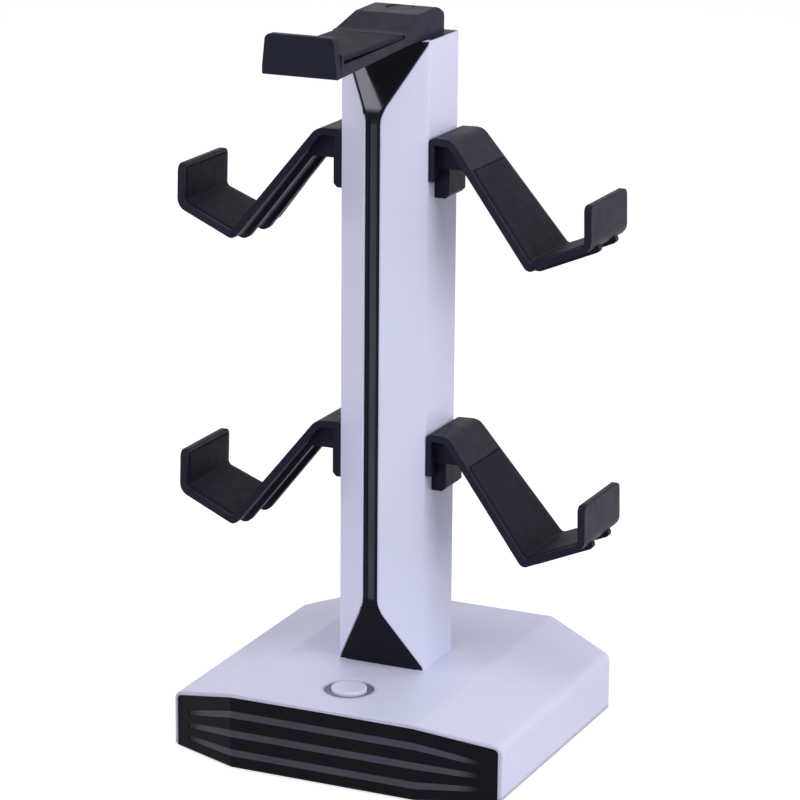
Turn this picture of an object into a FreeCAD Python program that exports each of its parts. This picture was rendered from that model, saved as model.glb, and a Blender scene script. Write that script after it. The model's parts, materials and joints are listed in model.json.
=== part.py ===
import FreeCAD, Part
import math
import os

# Desk stand for four game controllers and a headset.
# Millimetres. X runs across, Y from front to back, Z up from the table.
# The origin is on the table, in the middle of the stand's length and width.

Vector = FreeCAD.Vector

# How far the cradle's lip reaches ahead of the base
lip_overhang = 20.5

# General fits
seat_gap = 0.15
screw_gap = 0.1
screw_head_gap = 0.2
thread_end_gap = 1.0
cut_margin = 1.0
trim_reach = 500.0

# Base: plan outline
base_width = 148.5
base_depth = 148.1
base_middle_width = 83.4
base_corner_setback = 13.3

# Base: heights and roof
base_front_height = 33.0
base_side_drop = 8.6
roof_tilt = 0.52
base_edge_radius = 4.2
base_wall = 2.4

# Base: underside
shell_lift = 1.7
cover_flange = 0.8
cover_plug = 1.7
cover_inset = 0.6
foot_diameter = 16.0
foot_pocket = 0.7
foot_side_margin = 18.0
foot_front_margin = 26.0
foot_back_margin = 26.0
cover_screw_side_margin = 16.0
cover_screw_front_margin = 48.0
cover_screw_back_margin = 48.0
boss_diameter = 7.0

# Base: front panel and its light bars
panel_border = 1.5
panel_recess = 0.3
panel_thickness = 2.0
panel_stop = 1.3
panel_stop_overlap = 2.0
panel_corner_radius = 2.5
bar_top_drop = 9.0
bar_foot_rise = 5.5
bar_end_top_drop = 7.1
bar_end_foot_rise = 4.5
bar_end_margin = 8.2
bar_thickness = 3.1
bar_end_thickness = 2.3
bar_recess = 0.15
guide_plate_margin = 2.0
led_board_thickness = 1.6
led_board_width = 76.0

# Button
button_setback = 26.6
button_diameter = 15.0
button_rise = 1.0
button_travel = 0.8
button_gap = 0.3
button_cap_depth = 5.0
button_flange_width = 1.6
button_flange_height = 1.4
button_crown = 0.7
ring_diameter = 20.7
ring_flange_width = 1.6
ring_flange_height = 1.4
ring_recess = 0.5
stem_diameter = 5.0
stem_length = 3.0
switch_size = 6.2
switch_height = 3.4
switch_plunger_diameter = 3.4
switch_plunger_height = 1.0
switch_free_gap = 0.2

# Control board and power inlet
board_width = 46.0
board_depth = 34.0
board_thickness = 1.6
board_post_diameter = 6.0
board_post_inset = 4.0
socket_width = 8.9
socket_height = 3.2
socket_depth = 7.4
socket_wall = 0.4
socket_reach = 0.6
socket_corner_radius = 1.55
socket_tongue_width = 6.5
socket_tongue_height = 0.8
socket_centre_height = 12.0
socket_board_width = 16.0
socket_board_depth = 15.0
socket_frame_margin = 1.4

# Column
column_setback = 43.0
column_width = 38.94
column_depth = 29.6
prow_depth = 15.3
column_top = 300.0
column_wall = 2.5
prow_wall = 1.9
column_top_wall = 3.0
column_edge_radius = 1.6
slot_width = 6.8
slot_foot_length = 28.8
slot_top_length = 29.0
slot_flare_radius = 18.0
slot_bevel = 0.55
back_cover_thickness = 2.2
back_cover_border = 1.6

# Column insert and light strip
insert_wall = 2.0
insert_recess = 0.1
insert_floor_recess = 1.3
insert_wing = 3.0
strip_width = 3.2
strip_recess = 0.5
strip_margin = 2.0
strip_flange_width = 7.0
strip_flange = 1.0
column_board_thickness = 1.6

# Hooks: side profile, measured from the column's side and the hook's top
hook_top_margin = 39.0
hook_row_spacing = 123.8
hook_forward = 0.4
hook_bend_reach = 10.6
hook_corner_reach = 47.2
hook_corner_drop = 45.9
hook_lip_reach = 69.9
hook_lip_drop = 36.3
hook_lip_height = 16.4
hook_lip_lean = 0.4
hook_thickness = 3.0
hook_root_width = 29.2
hook_corner_width = 42.4
hook_lip_width = 39.4
hook_lip_corner_radius = 3.2
hook_bend_radius = 6.0
hook_corner_radius = 2.0
hook_outer_corner_radius = 3.2
hook_foot_radius = 2.5
hook_edge_radius = 0.8
hook_flange_thickness = 2.6
hook_flange_height = 18.0
hook_rib_height = 1.9
hook_rib_thickness = 3.0
hook_rib_spacing = 18.0
hook_rib_end_radius = 1.8
hook_rib_corner_radius = 4.0
hook_neck_radius = 3.0
hook_neck_depth = 13.0
hook_tab_thickness = 6.4
hook_tab_width = 16.6
hook_tab_depth = 25.8
hook_tab_chamfer = 1.6

# Hook pads
pad_start = 15.0
pad_end_margin = 2.0
pad_border = 2.0
pad_recess = 0.7
pad_rise = 0.6
pad_gap = 0.25

# Headset cradle: side profile
cradle_width = 31.6
cradle_back_setback = 2.6
cradle_lip_drop = 3.15
cradle_lip_height = 16.0
cradle_lip_thickness = 4.6
cradle_lip_taper = 1.3
cradle_floor_height = 4.6
cradle_ramp_length = 15.2
cradle_head_length = 25.9
cradle_head_inset = 2.5
cradle_ramp_height = 10.0
cradle_head_height = 11.0
cradle_head_radius = 9.0
cradle_corner_radius = 6.0
cradle_lip_corner_radius = 2.4
cradle_saddle_radius = 1.5
cradle_ramp_radius = 14.0
cradle_head_edge_radius = 2.0
cradle_edge_radius = 1.0
cradle_slit_height = 1.2
cradle_slit_length = 56.0
cradle_slit_depth = 3.0
cradle_disc_diameter = 12.0
cradle_disc_depth = 0.4
cap_inset = 0.8
cap_depth = 1.2

# Saddle pad
saddle_rise = 0.4
saddle_recess = 1.4
saddle_border = 2.0
saddle_side_border = 0.2
saddle_gap = 0.1

# Screws
screw_diameter = 3.0
screw_head_diameter = 5.6
screw_head_height = 1.9
screw_socket = 2.5
screw_socket_depth = 1.1
cover_screw_length = 11.0
column_screw_length = 13.0
column_screw_spacing = 28.0
column_screw_back_margin = 8.0
column_boss_height = 16.0
cradle_screw_length = 8.0
cradle_screw_spacing = 9.0
hook_screw_length = 7.0
hook_screw_spacing = 8.0
hook_screw_drop = 20.0
board_screw_length = 7.0

# Places worked out from the sizes
y_back = (base_depth + lip_overhang) / 2
y_lip = -y_back
y_front = y_back - base_depth
y_front_corner = y_front + base_corner_setback
y_back_corner = y_back - base_corner_setback
y_ridge = y_front + column_setback
y_shoulder = y_ridge + prow_depth
y_column_back = y_shoulder + column_depth
y_button = y_front + button_setback
y_hook = (y_shoulder + y_column_back) / 2 - hook_forward
base_half = base_width / 2
middle_half = base_middle_width / 2
column_half = column_width / 2
slot_half = slot_width / 2
cover_low = shell_lift - cover_flange
cover_top = shell_lift + cover_plug
base_side_height = base_front_height - base_side_drop
tilt = math.radians(roof_tilt)
roof_normal = Vector(0, -math.sin(tilt), math.cos(tilt))
side_slope = base_side_drop / (base_half - middle_half)


# Geometry helpers

def offset_points(points, distance, closed):
    """Points moved to the left of their direction of travel, in the XY plane of the points."""
    moved = []
    count = len(points)
    for index in range(count):
        normals = []
        if closed or index > 0:
            step = (points[index] - points[index - 1]).normalize()
            normals.append(Vector(-step.y, step.x, 0))
        if closed or index < count - 1:
            step = (points[(index + 1) % count] - points[index]).normalize()
            normals.append(Vector(-step.y, step.x, 0))
        first = normals[0]
        last = normals[-1]
        moved.append(points[index] + (first + last) * (distance / (1 + first.dot(last))))
    return moved


def outline(points, radii):
    """Closed face through the points, with an arc at each corner that has a radius; None means all sharp."""
    count = len(points)
    radii = radii or [0] * count
    corners = []
    for index in range(count):
        here = points[index]
        before = (here - points[index - 1]).normalize()
        after = (points[(index + 1) % count] - here).normalize()
        half_turn = before.getAngle(after) / 2
        run = radii[index] * math.tan(half_turn)
        middle = here
        if radii[index] > 0:
            inward = (after - before).normalize()
            middle = here + inward * (radii[index] / math.cos(half_turn) - radii[index])
        corners.append((here - before * run, middle, here + after * run, radii[index]))
    edges = []
    for index in range(count):
        start, middle, end, radius = corners[index]
        if radius > 0:
            edges.append(Part.Arc(start, middle, end).toShape())
        following = corners[(index + 1) % count][0]
        edges.append(Part.LineSegment(end, following).toShape())
    return Part.Face(Part.Wire(edges))


def plan_prism(points, radii, low, high):
    """Outline in plan, raised from one height to another."""
    face = outline([Vector(p.x, p.y, low) for p in points], radii)
    return face.extrude(Vector(0, 0, high - low))


def front_prism(points, radii, near, far):
    """Outline seen from the front (x, z as the points' x, y), carried along Y."""
    face = outline([Vector(p.x, near, p.y) for p in points], radii)
    return face.extrude(Vector(0, far - near, 0))


def side_prism(points, radii, left, right):
    """Outline seen from the side (y, z as the points' x, y), carried along X."""
    face = outline([Vector(left, p.x, p.y) for p in points], radii)
    return face.extrude(Vector(right - left, 0, 0))


def block(low, high):
    """Box between two corners."""
    size = high - low
    return Part.makeBox(size.x, size.y, size.z, low)


def half_space(point, normal):
    """Large block whose top face lies on a plane, filling the side away from the normal."""
    body = block(Vector(-trim_reach, -trim_reach, -trim_reach), Vector(trim_reach, trim_reach, 0))
    body.Placement = FreeCAD.Placement(point, FreeCAD.Rotation(Vector(0, 0, 1), normal))
    return body


def rod(diameter, base, axis, length):
    return Part.makeCylinder(diameter / 2, length, base, axis)


def turned(points):
    """Solid of revolution about Z from (radius, height) points."""
    face = Part.Face(Part.makePolygon(points + [points[0]]))
    return face.revolve(Vector(0, 0, 0), Vector(0, 0, 1), 360)


def ring_points(diameter, angles):
    """Corners of a regular outline about the origin."""
    points = []
    for angle in angles:
        turn = math.radians(angle)
        points.append(Vector(math.cos(turn), math.sin(turn), 0) * (diameter / 2))
    return points


def small_rod(diameter, low, high):
    """Eight-sided rod along Z, for fasteners, their holes and their posts."""
    return plan_prism(ring_points(diameter, range(0, 360, 45)), None, low, high)


def foot_rod(diameter, low, high):
    """Rod along Z with twenty-four sides, for the feet and other hidden round pieces."""
    return plan_prism(ring_points(diameter, range(0, 360, 15)), None, low, high)


def screw(length):
    """Screw with a hexagon socket: head below Z 0, shank above it."""
    head = small_rod(screw_head_diameter, -screw_head_height, 0)
    shank = small_rod(screw_diameter, 0, length)
    socket_end = screw_socket_depth - screw_head_height
    socket = plan_prism(ring_points(screw_socket, range(0, 360, 60)), None, -screw_head_height, socket_end)
    return head.fuse(shank).cut(socket)


def placed(shape, point, axis):
    """Copy of a shape built along Z, set on a point with Z turned to an axis."""
    copy = shape.copy()
    copy.Placement = FreeCAD.Placement(point, FreeCAD.Rotation(Vector(0, 0, 1), axis))
    return copy


def screw_hole(base, axis, length):
    return placed(small_rod(screw_diameter + 2 * screw_gap, 0, length), base, axis)


def mirrored(shape):
    return shape.mirror(Vector(0, 0, 0), Vector(1, 0, 0))


def edges_where(shape, test):
    return [edge for edge in shape.Edges if test(edge)]


# Base form: an eight-sided outline under a roof with a flat middle and falling sides

base_points = [
    Vector(-middle_half, y_front, 0),
    Vector(middle_half, y_front, 0),
    Vector(base_half, y_front_corner, 0),
    Vector(base_half, y_back_corner, 0),
    Vector(middle_half, y_back, 0),
    Vector(-middle_half, y_back, 0),
    Vector(-base_half, y_back_corner, 0),
    Vector(-base_half, y_front_corner, 0),
]


def roof_height(y):
    """Height of the roof's middle plane."""
    return base_front_height + (y - y_front) * math.tan(tilt)


def roof_planes():
    """Point and upward normal of the roof's middle and of its two falling sides."""
    planes = [(Vector(0, y_front, base_front_height), roof_normal)]
    for side in (-1, 1):
        crease = Vector(side * middle_half, y_front, base_front_height)
        planes.append((crease, Vector(side * side_slope, -math.tan(tilt), 1).normalize()))
    return planes


def base_form(inset, low):
    """The base's outer form, moved inwards by an inset on walls and roof."""
    points = offset_points(base_points, inset, True)
    body = plan_prism(points, None, low, trim_reach)
    for point, normal in roof_planes():
        body = body.common(half_space(point - normal * inset, normal))
    return body


def is_soft_edge(body, edge):
    """True for the roof's creases, its rim and the upright rear corners, not for the front's edges."""
    slopes = []
    for face in body.ancestorsOfType(edge, Part.Face):
        slopes.append(face.normalAt(0, 0).z)
    is_crease = min(slopes) > 0.5
    behind_front = edge.BoundBox.YMax > y_front_corner + base_wall
    return is_crease or (behind_front and min(slopes) > -0.5)


# Base front: the panel, its light bars and the light guide behind them

def panel_outline(border):
    """Front view of the panel, a border inside the base's own front outline."""
    drop = border / math.cos(math.atan(side_slope))
    half = base_half - border
    side_top = base_side_height + side_slope * border - drop
    kink = middle_half - (drop - border) / side_slope
    front_top = base_front_height - border
    points = [
        Vector(-half, shell_lift, 0),
        Vector(half, shell_lift, 0),
        Vector(half, side_top, 0),
        Vector(kink, front_top, 0),
        Vector(-kink, front_top, 0),
        Vector(-half, side_top, 0),
    ]
    return points


def front_band(near, far):
    """Skin of the base's front between two insets, following its three facets."""
    outer = plan_prism(offset_points(base_points, near, True), None, 0, base_front_height)
    inner = plan_prism(offset_points(base_points, far, True), None, 0, base_front_height)
    near_corner = Vector(-base_half, y_front - base_wall, 0)
    front = block(near_corner, Vector(base_half, y_back_corner, base_front_height))
    return outer.cut(inner).common(front)


def front_slab(points, radii, near, far):
    """Part of the front skin that lies inside a front view outline."""
    view = front_prism(points, radii, y_front - base_wall, y_front_corner + front_wall + base_wall)
    return front_band(near, far).common(view)


def panel_slab(border, near, far):
    radius = panel_corner_radius
    return front_slab(panel_outline(border), [0, 0, radius, 0, 0, radius], near, far)


def spread(low, high):
    """Heights of the lowest, middle and highest light bar."""
    return low, (low + high) / 2, high


bar_half_length = base_half - bar_end_margin
bar_heights = spread(shell_lift + bar_foot_rise, base_front_height - bar_top_drop)
bar_end_heights = spread(shell_lift + bar_end_foot_rise, base_side_height - bar_end_top_drop)


def bar_outline(middle, end, grow):
    """One light bar in front view: level in the middle, bent and tapered at its ends."""
    half = bar_thickness / 2 + grow
    end_half = bar_end_thickness / 2 + grow
    reach = bar_half_length + grow
    points = [
        Vector(-middle_half, middle - half, 0),
        Vector(middle_half, middle - half, 0),
        Vector(reach, end - end_half, 0),
        Vector(reach, end + end_half, 0),
        Vector(middle_half, middle + half, 0),
        Vector(-middle_half, middle + half, 0),
        Vector(-reach, end + end_half, 0),
        Vector(-reach, end - end_half, 0),
    ]
    return points


def light_bars(grow, near, far):
    bars = []
    for middle, end in zip(bar_heights, bar_end_heights):
        bars.append(front_slab(bar_outline(middle, end, grow), None, near, far))
    return bars


panel_back = panel_recess + panel_thickness
front_wall = panel_back + panel_stop


def make_front_panel():
    panel = panel_slab(panel_border, panel_recess, panel_back)
    for slot in light_bars(seat_gap, -cut_margin, panel_back + cut_margin):
        panel = panel.cut(slot)
    return panel


def make_light_guide():
    low = min(bar_heights) - bar_thickness / 2 - guide_plate_margin
    high = max(bar_heights) + bar_thickness / 2 + guide_plate_margin
    end_low = min(bar_end_heights) - bar_end_thickness / 2 - guide_plate_margin
    end_high = max(bar_end_heights) + bar_end_thickness / 2 + guide_plate_margin
    reach = bar_half_length
    points = [
        Vector(-middle_half, low, 0),
        Vector(middle_half, low, 0),
        Vector(reach, end_low, 0),
        Vector(reach, end_high, 0),
        Vector(middle_half, high, 0),
        Vector(-middle_half, high, 0),
        Vector(-reach, end_high, 0),
        Vector(-reach, end_low, 0),
    ]
    plate = front_slab(points, None, panel_back, front_wall)
    return plate.fuse(light_bars(0, panel_recess + bar_recess, panel_back)).removeSplitter()


def make_base_led_board():
    low = min(bar_heights) - bar_thickness / 2
    high = max(bar_heights) + bar_thickness / 2
    near = y_front + front_wall
    half = led_board_width / 2
    return block(Vector(-half, near, low), Vector(half, near + led_board_thickness, high))


# Places of the fasteners and of the button

def roof_point(x, y):
    return Vector(x, y, roof_height(y))


def cover_screw_places():
    x = base_half - cover_screw_side_margin
    front = y_front + cover_screw_front_margin
    back = y_back - cover_screw_back_margin
    return [(-x, front), (x, front), (-x, back), (x, back)]


def foot_places():
    x = base_half - foot_side_margin
    front = y_front + foot_front_margin
    back = y_back - foot_back_margin
    return [(-x, front), (x, front), (-x, back), (x, back)]


def column_screw_places():
    y = y_column_back - column_screw_back_margin
    return [(-column_screw_spacing / 2, y), (column_screw_spacing / 2, y)]


def board_corners():
    x = board_width / 2 - board_post_inset
    y = board_depth / 2 - board_post_inset
    return [(-x, y_button - y), (x, y_button - y), (-x, y_button + y), (x, y_button + y)]


button_point = roof_point(0, y_button)
plunger_top = -(button_cap_depth - button_rise) - stem_length - button_travel - switch_free_gap
switch_top = plunger_top - switch_plunger_height
board_height = button_point.z + switch_top - switch_height


# Base pieces

def make_base_housing():
    body = base_form(0, shell_lift)
    body = body.makeFillet(base_edge_radius, edges_where(body, lambda edge: is_soft_edge(body, edge)))
    shell = body.cut(base_form(base_wall, shell_lift - cut_margin).cut(front_band(-cut_margin, front_wall)))
    bosses = []
    for x, y in cover_screw_places():
        bosses.append(small_rod(boss_diameter, cover_top, base_front_height).translated(Vector(x, y, 0)))
    shell = shell.fuse(Part.makeCompound(bosses).common(base_form(base_wall / 2, shell_lift)))
    for x, y in cover_screw_places():
        shell = shell.cut(screw_hole(Vector(x, y, cover_low), Vector(0, 0, 1), cover_screw_length))
    shell = shell.cut(panel_slab(panel_border - seat_gap, -cut_margin, panel_back))
    opening_border = panel_border + panel_stop_overlap
    shell = shell.cut(panel_slab(opening_border, panel_back - cut_margin, front_wall + cut_margin))
    below_roof = roof_normal * (base_wall + cut_margin)
    through_roof = base_wall + 2 * cut_margin
    ring_hole = ring_diameter + 2 * seat_gap
    shell = shell.cut(rod(ring_hole, button_point - below_roof, roof_normal, through_roof))
    for x, y in column_screw_places():
        shell = shell.cut(screw_hole(roof_point(x, y) - below_roof, roof_normal, through_roof))
    window = socket_outline(socket_frame_margin)
    corner = socket_corner_radius + socket_frame_margin
    shell = shell.cut(front_prism(window, [corner] * 4, y_back - base_wall - cut_margin, y_back + cut_margin))
    return shell.removeSplitter()


def make_bottom_cover():
    flange_points = offset_points(base_points, cover_inset, True)
    flange = plan_prism(flange_points, None, cover_low, shell_lift)
    plug_points = offset_points(base_points, base_wall + seat_gap, True)
    plug = plan_prism(plug_points, None, shell_lift, cover_top)
    plug = plug.cut(front_band(-cut_margin, front_wall + seat_gap))
    cover = flange.fuse(plug)
    posts = []
    for x, y in board_corners():
        post = small_rod(board_post_diameter, shell_lift, board_height)
        posts.append(post.translated(Vector(x, y, 0)))
    posts.append(socket_pedestal())
    cover = cover.fuse(posts).removeSplitter()
    for x, y in board_corners():
        top = Vector(x, y, board_height + board_thickness)
        cover = cover.cut(screw_hole(top, Vector(0, 0, -1), board_screw_length + thread_end_gap))
    for x, y in foot_places():
        pocket = foot_rod(foot_diameter + 2 * screw_gap, 0, cover_low + foot_pocket)
        cover = cover.cut(pocket.translated(Vector(x, y, 0)))
    for x, y in cover_screw_places():
        pocket = small_rod(screw_head_diameter + 2 * screw_head_gap, 0, cover_low + screw_head_height)
        cover = cover.cut(pocket.translated(Vector(x, y, 0)))
        cover = cover.cut(screw_hole(Vector(x, y, 0), Vector(0, 0, 1), cover_top + cut_margin))
    return cover


def make_feet():
    feet = []
    for x, y in foot_places():
        feet.append(foot_rod(foot_diameter, 0, cover_low + foot_pocket).translated(Vector(x, y, 0)))
    return Part.makeCompound(feet)


def make_cover_screws():
    screws = []
    for x, y in cover_screw_places():
        seat = Vector(x, y, cover_low + screw_head_height)
        shank = cover_screw_length - screw_head_height - thread_end_gap
        screws.append(placed(screw(shank), seat, Vector(0, 0, 1)))
    return Part.makeCompound(screws)


# Button, its light ring and its switch

def make_power_button():
    radius = button_diameter / 2
    foot = button_rise - button_cap_depth
    cap_points = [
        Vector(0, 0, foot),
        Vector(radius, 0, foot),
        Vector(radius, 0, button_rise - button_crown),
        Vector(radius - button_crown / 4, 0, button_rise - button_crown / 4),
        Vector(radius - button_crown, 0, button_rise),
        Vector(0, 0, button_rise),
    ]
    flange = foot_rod(button_diameter + 2 * button_flange_width, foot, foot + button_flange_height)
    stem = small_rod(stem_diameter, foot - stem_length, foot)
    return placed(turned(cap_points).fuse([flange, stem]).removeSplitter(), button_point, roof_normal)


def make_light_ring():
    up = Vector(0, 0, 1)
    low = -base_wall - ring_flange_height
    height = -ring_recess - low
    ring = rod(ring_diameter, Vector(0, 0, low), up, height)
    ring = ring.fuse(foot_rod(ring_diameter + 2 * ring_flange_width, low, -base_wall)).removeSplitter()
    ring = ring.cut(rod(button_diameter + 2 * button_gap, Vector(0, 0, low), up, height))
    relief_top = button_rise - button_cap_depth + button_flange_height + button_gap
    relief = foot_rod(button_diameter + 2 * button_flange_width + 2 * button_gap, low, relief_top)
    return placed(ring.cut(relief), button_point, roof_normal)


def make_switch():
    half = switch_size / 2
    low = board_height + board_thickness
    body_height = switch_height - board_thickness
    body = block(Vector(-half, y_button - half, low), Vector(half, y_button + half, low + body_height))
    seat = low + body_height
    plunger = small_rod(switch_plunger_diameter, seat, seat + switch_plunger_height)
    return body.fuse(plunger.translated(Vector(0, y_button, 0))).removeSplitter()


def make_control_board():
    half = board_width / 2
    low = Vector(-half, y_button - board_depth / 2, board_height)
    high = Vector(half, y_button + board_depth / 2, board_height + board_thickness)
    board = block(low, high)
    for x, y in board_corners():
        board = board.cut(screw_hole(Vector(x, y, 0), Vector(0, 0, 1), board_height + 2 * board_thickness))
    return board


def make_board_screws():
    screws = []
    for x, y in board_corners():
        seat = Vector(x, y, board_height + board_thickness)
        screws.append(placed(screw(board_screw_length), seat, Vector(0, 0, -1)))
    return Part.makeCompound(screws)


# Power inlet at the back

def socket_outline(margin):
    half = socket_width / 2 + margin
    low = socket_centre_height - socket_height / 2 - margin
    high = socket_centre_height + socket_height / 2 + margin
    return [Vector(-half, low, 0), Vector(half, low, 0), Vector(half, high, 0), Vector(-half, high, 0)]


socket_front = y_back - socket_reach
socket_board_top = socket_centre_height - socket_height / 2
socket_board_back = socket_front - base_wall - seat_gap


def socket_pedestal():
    half = socket_board_width / 2
    low = Vector(-half, socket_board_back - socket_board_depth, shell_lift)
    return block(low, Vector(half, socket_board_back, socket_board_top - board_thickness))


def make_socket_board():
    half = socket_board_width / 2
    low = Vector(-half, socket_board_back - socket_board_depth, socket_board_top - board_thickness)
    return block(low, Vector(half, socket_board_back, socket_board_top))


def make_usb_socket():
    radius = socket_corner_radius
    near = socket_front - socket_depth
    body = front_prism(socket_outline(0), [radius] * 4, near, socket_front)
    mouth_points = socket_outline(-socket_wall)
    mouth_radii = [radius - socket_wall] * 4
    mouth = front_prism(mouth_points, mouth_radii, near + socket_wall, socket_front + cut_margin)
    half = socket_tongue_width / 2
    rise = socket_tongue_height / 2
    tongue_end = Vector(half, socket_front - socket_tongue_height, socket_centre_height + rise)
    tongue = block(Vector(-half, near, socket_centre_height - rise), tongue_end)
    return body.cut(mouth).fuse(tongue).removeSplitter()


# Column: a five-sided section with a prow, split by a slot that flares at both ends

def column_section(inset, prow_inset, back):
    """Column outline in plan, inset by one amount at the sides and another at the prow."""
    rise = math.hypot(column_half, prow_depth)
    ridge = y_ridge + prow_inset * rise / column_half
    half = column_half - inset
    shoulder = ridge + half * prow_depth / column_half
    points = [
        Vector(-half, shoulder, 0),
        Vector(0, ridge, 0),
        Vector(half, shoulder, 0),
        Vector(half, back, 0),
        Vector(-half, back, 0),
    ]
    return points


y_slot_edge = y_ridge + slot_half * prow_depth / column_half
slot_low = roof_height(y_shoulder) + slot_foot_length
slot_high = column_top - slot_top_length


def chamfer_planes(recess):
    """The two sloping planes that cut the prow away at the foot and at the top."""
    foot = Vector(0, y_shoulder, roof_height(y_shoulder))
    planes = []
    for shoulder, slot_end, up in ((foot, slot_low, 1), (Vector(0, y_shoulder, column_top), slot_high, -1)):
        slope = Vector(0, y_slot_edge, slot_end) - shoulder
        normal = Vector(0, -slope.z * up, slope.y * up).normalize()
        planes.append((shoulder - normal * recess, normal))
    return planes


def above_roof(shape, clearance):
    point = roof_point(0, y_front) + roof_normal * clearance
    return shape.common(half_space(point, roof_normal * -1))


def slot_outline(inset):
    """Front view of the split in the prow: a slot that flares to the shoulders at foot and top."""
    foot = roof_height(y_shoulder)
    wide = column_half - inset
    narrow = slot_half - inset
    right = [
        Vector(wide, 0, 0),
        Vector(wide, foot, 0),
        Vector(narrow, slot_low, 0),
        Vector(narrow, slot_high, 0),
        Vector(wide, column_top, 0),
    ]
    left = [Vector(-point.x, point.y, 0) for point in right[::-1]]
    round_corner = slot_flare_radius
    return right + left, [0, 0, round_corner, round_corner, 0, 0, round_corner, round_corner, 0, 0]


def split_lines():
    """Points and outward directions along the split's right edge in front view."""
    foot_lean = math.atan2(column_half - slot_half, slot_foot_length)
    top_lean = math.atan2(column_half - slot_half, slot_top_length)
    lines = []
    for lean, slot_end, up in ((foot_lean, slot_low, -1), (top_lean, slot_high, 1)):
        run = slot_flare_radius * math.tan(lean / 2)
        centre = Vector(slot_half + slot_flare_radius, slot_end - up * run, 0)
        for share in (0, 0.25, 0.5, 0.75, 1):
            turn = lean * share
            spoke = Vector(-math.cos(turn), up * math.sin(turn), 0)
            lines.append((centre + spoke * slot_flare_radius, spoke))
    return lines


def split_bevel_waste():
    """What the bevel takes off the right edge of the split."""
    zone = block(Vector(0, y_ridge - cut_margin, 0), Vector(column_half, y_shoulder, column_top))
    kept = zone
    facet = Vector(prow_depth, -column_half, 0).normalize()
    for point, spoke in split_lines():
        edge = Vector(point.x, y_ridge + point.x * prow_depth / column_half, point.y)
        normal = (facet + Vector(spoke.x, 0, spoke.y)).normalize()
        kept = kept.common(half_space(edge - normal * slot_bevel, normal))
    return zone.cut(kept)


def cap_form(gap, top):
    """Plate under the cradle's head, let into the column's top; a gap makes it the recess."""
    half = column_half - cap_inset + gap
    near = y_shoulder + insert_wing + 2 * seat_gap - gap
    far = y_column_back - cap_inset + gap
    return block(Vector(-half, near, column_top - cap_depth), Vector(half, far, top))


def make_column_shell():
    radius = column_edge_radius
    radii = [radius, 0, radius, radius, radius]
    outer = plan_prism(column_section(0, 0, y_column_back), radii, 0, column_top)
    ceiling = column_top - column_top_wall
    cover_front = y_column_back - back_cover_thickness
    cavity = plan_prism(column_section(column_wall, prow_wall, cover_front), None, 0, ceiling)
    pocket_half = column_half - back_cover_border
    pocket_corner = Vector(pocket_half, y_column_back + cut_margin, ceiling)
    pocket = block(Vector(-pocket_half, cover_front, 0), pocket_corner)
    points, radii = slot_outline(0)
    split = front_prism(points, radii, y_ridge - cut_margin, y_shoulder)
    insert_section = column_section(column_wall, prow_wall, y_shoulder + insert_wing + seat_gap)
    insert_room = plan_prism(insert_section, None, slot_high, column_top + cut_margin)
    bevel = split_bevel_waste()
    shell = outer.cut(split).cut(bevel).cut(mirrored(bevel)).cut(cavity).cut(pocket).cut(insert_room)
    shell = above_roof(shell.cut(cap_form(seat_gap, column_top + cut_margin)), 0)
    bosses = []
    for x, y in column_screw_places():
        boss = small_rod(boss_diameter, 0, roof_height(y) + column_boss_height)
        bosses.append(placed(boss, Vector(x, y, 0), roof_normal))
    boss_section = column_section(column_wall / 2, prow_wall, cover_front - seat_gap)
    inside = plan_prism(boss_section, None, 0, column_top)
    shell = shell.fuse(above_roof(Part.makeCompound(bosses).common(inside), 0))
    for x, y in column_screw_places():
        low = roof_point(x, y) - roof_normal * cut_margin
        shell = shell.cut(screw_hole(low, roof_normal, column_screw_length + cut_margin))
    for y in cradle_screw_places():
        low = Vector(0, y, ceiling - cut_margin)
        shell = shell.cut(screw_hole(low, Vector(0, 0, 1), column_top_wall + 2 * cut_margin))
    for hole in hook_screw_holes():
        shell = shell.cut(hole)
    return shell.removeSplitter()


def make_back_cover():
    half = column_half - back_cover_border - seat_gap
    cover = block(Vector(-half, y_column_back - back_cover_thickness, 0),
                  Vector(half, y_column_back, column_top - column_top_wall - seat_gap))
    return above_roof(cover, seat_gap)


y_insert_floor = y_slot_edge + insert_floor_recess


def insert_form(depth):
    """Column insert's form behind the shell, moved inwards by a depth."""
    back = y_shoulder + insert_wing + depth
    section = column_section(column_wall + seat_gap + depth, prow_wall + seat_gap + depth, back)
    body = plan_prism(section, None, 0, column_top - seat_gap)
    for point, normal in chamfer_planes(insert_recess + depth):
        body = body.common(half_space(point, normal))
    ahead = block(Vector(-column_half, y_ridge, 0), Vector(column_half, y_insert_floor, column_top))
    return body.cut(ahead)


def insert_flares():
    """The insert's wide ends, which fill the flares of the split as far as the shoulders."""
    points, radii = slot_outline(seat_gap)
    body = front_prism(points, radii, y_ridge, y_shoulder)
    for point, normal in chamfer_planes(insert_recess):
        body = body.common(half_space(point, normal))
    low = Vector(-column_half, y_ridge, slot_low)
    high = Vector(column_half, y_shoulder, slot_high)
    ceiling = Vector(column_half, y_shoulder, column_top - seat_gap)
    return body.cut(block(low, high)).common(block(Vector(-column_half, y_ridge, 0), ceiling))


strip_low = slot_low + strip_margin
strip_high = slot_high - strip_margin


def insert_keel():
    """Flat floor of the insert, which fills the slot between its white edges."""
    half = slot_half - seat_gap
    keel = block(Vector(-half, y_insert_floor, 0), Vector(half, y_insert_floor + insert_wall, column_top))
    for point, normal in chamfer_planes(insert_recess):
        keel = keel.common(half_space(point, normal))
    return keel


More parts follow.
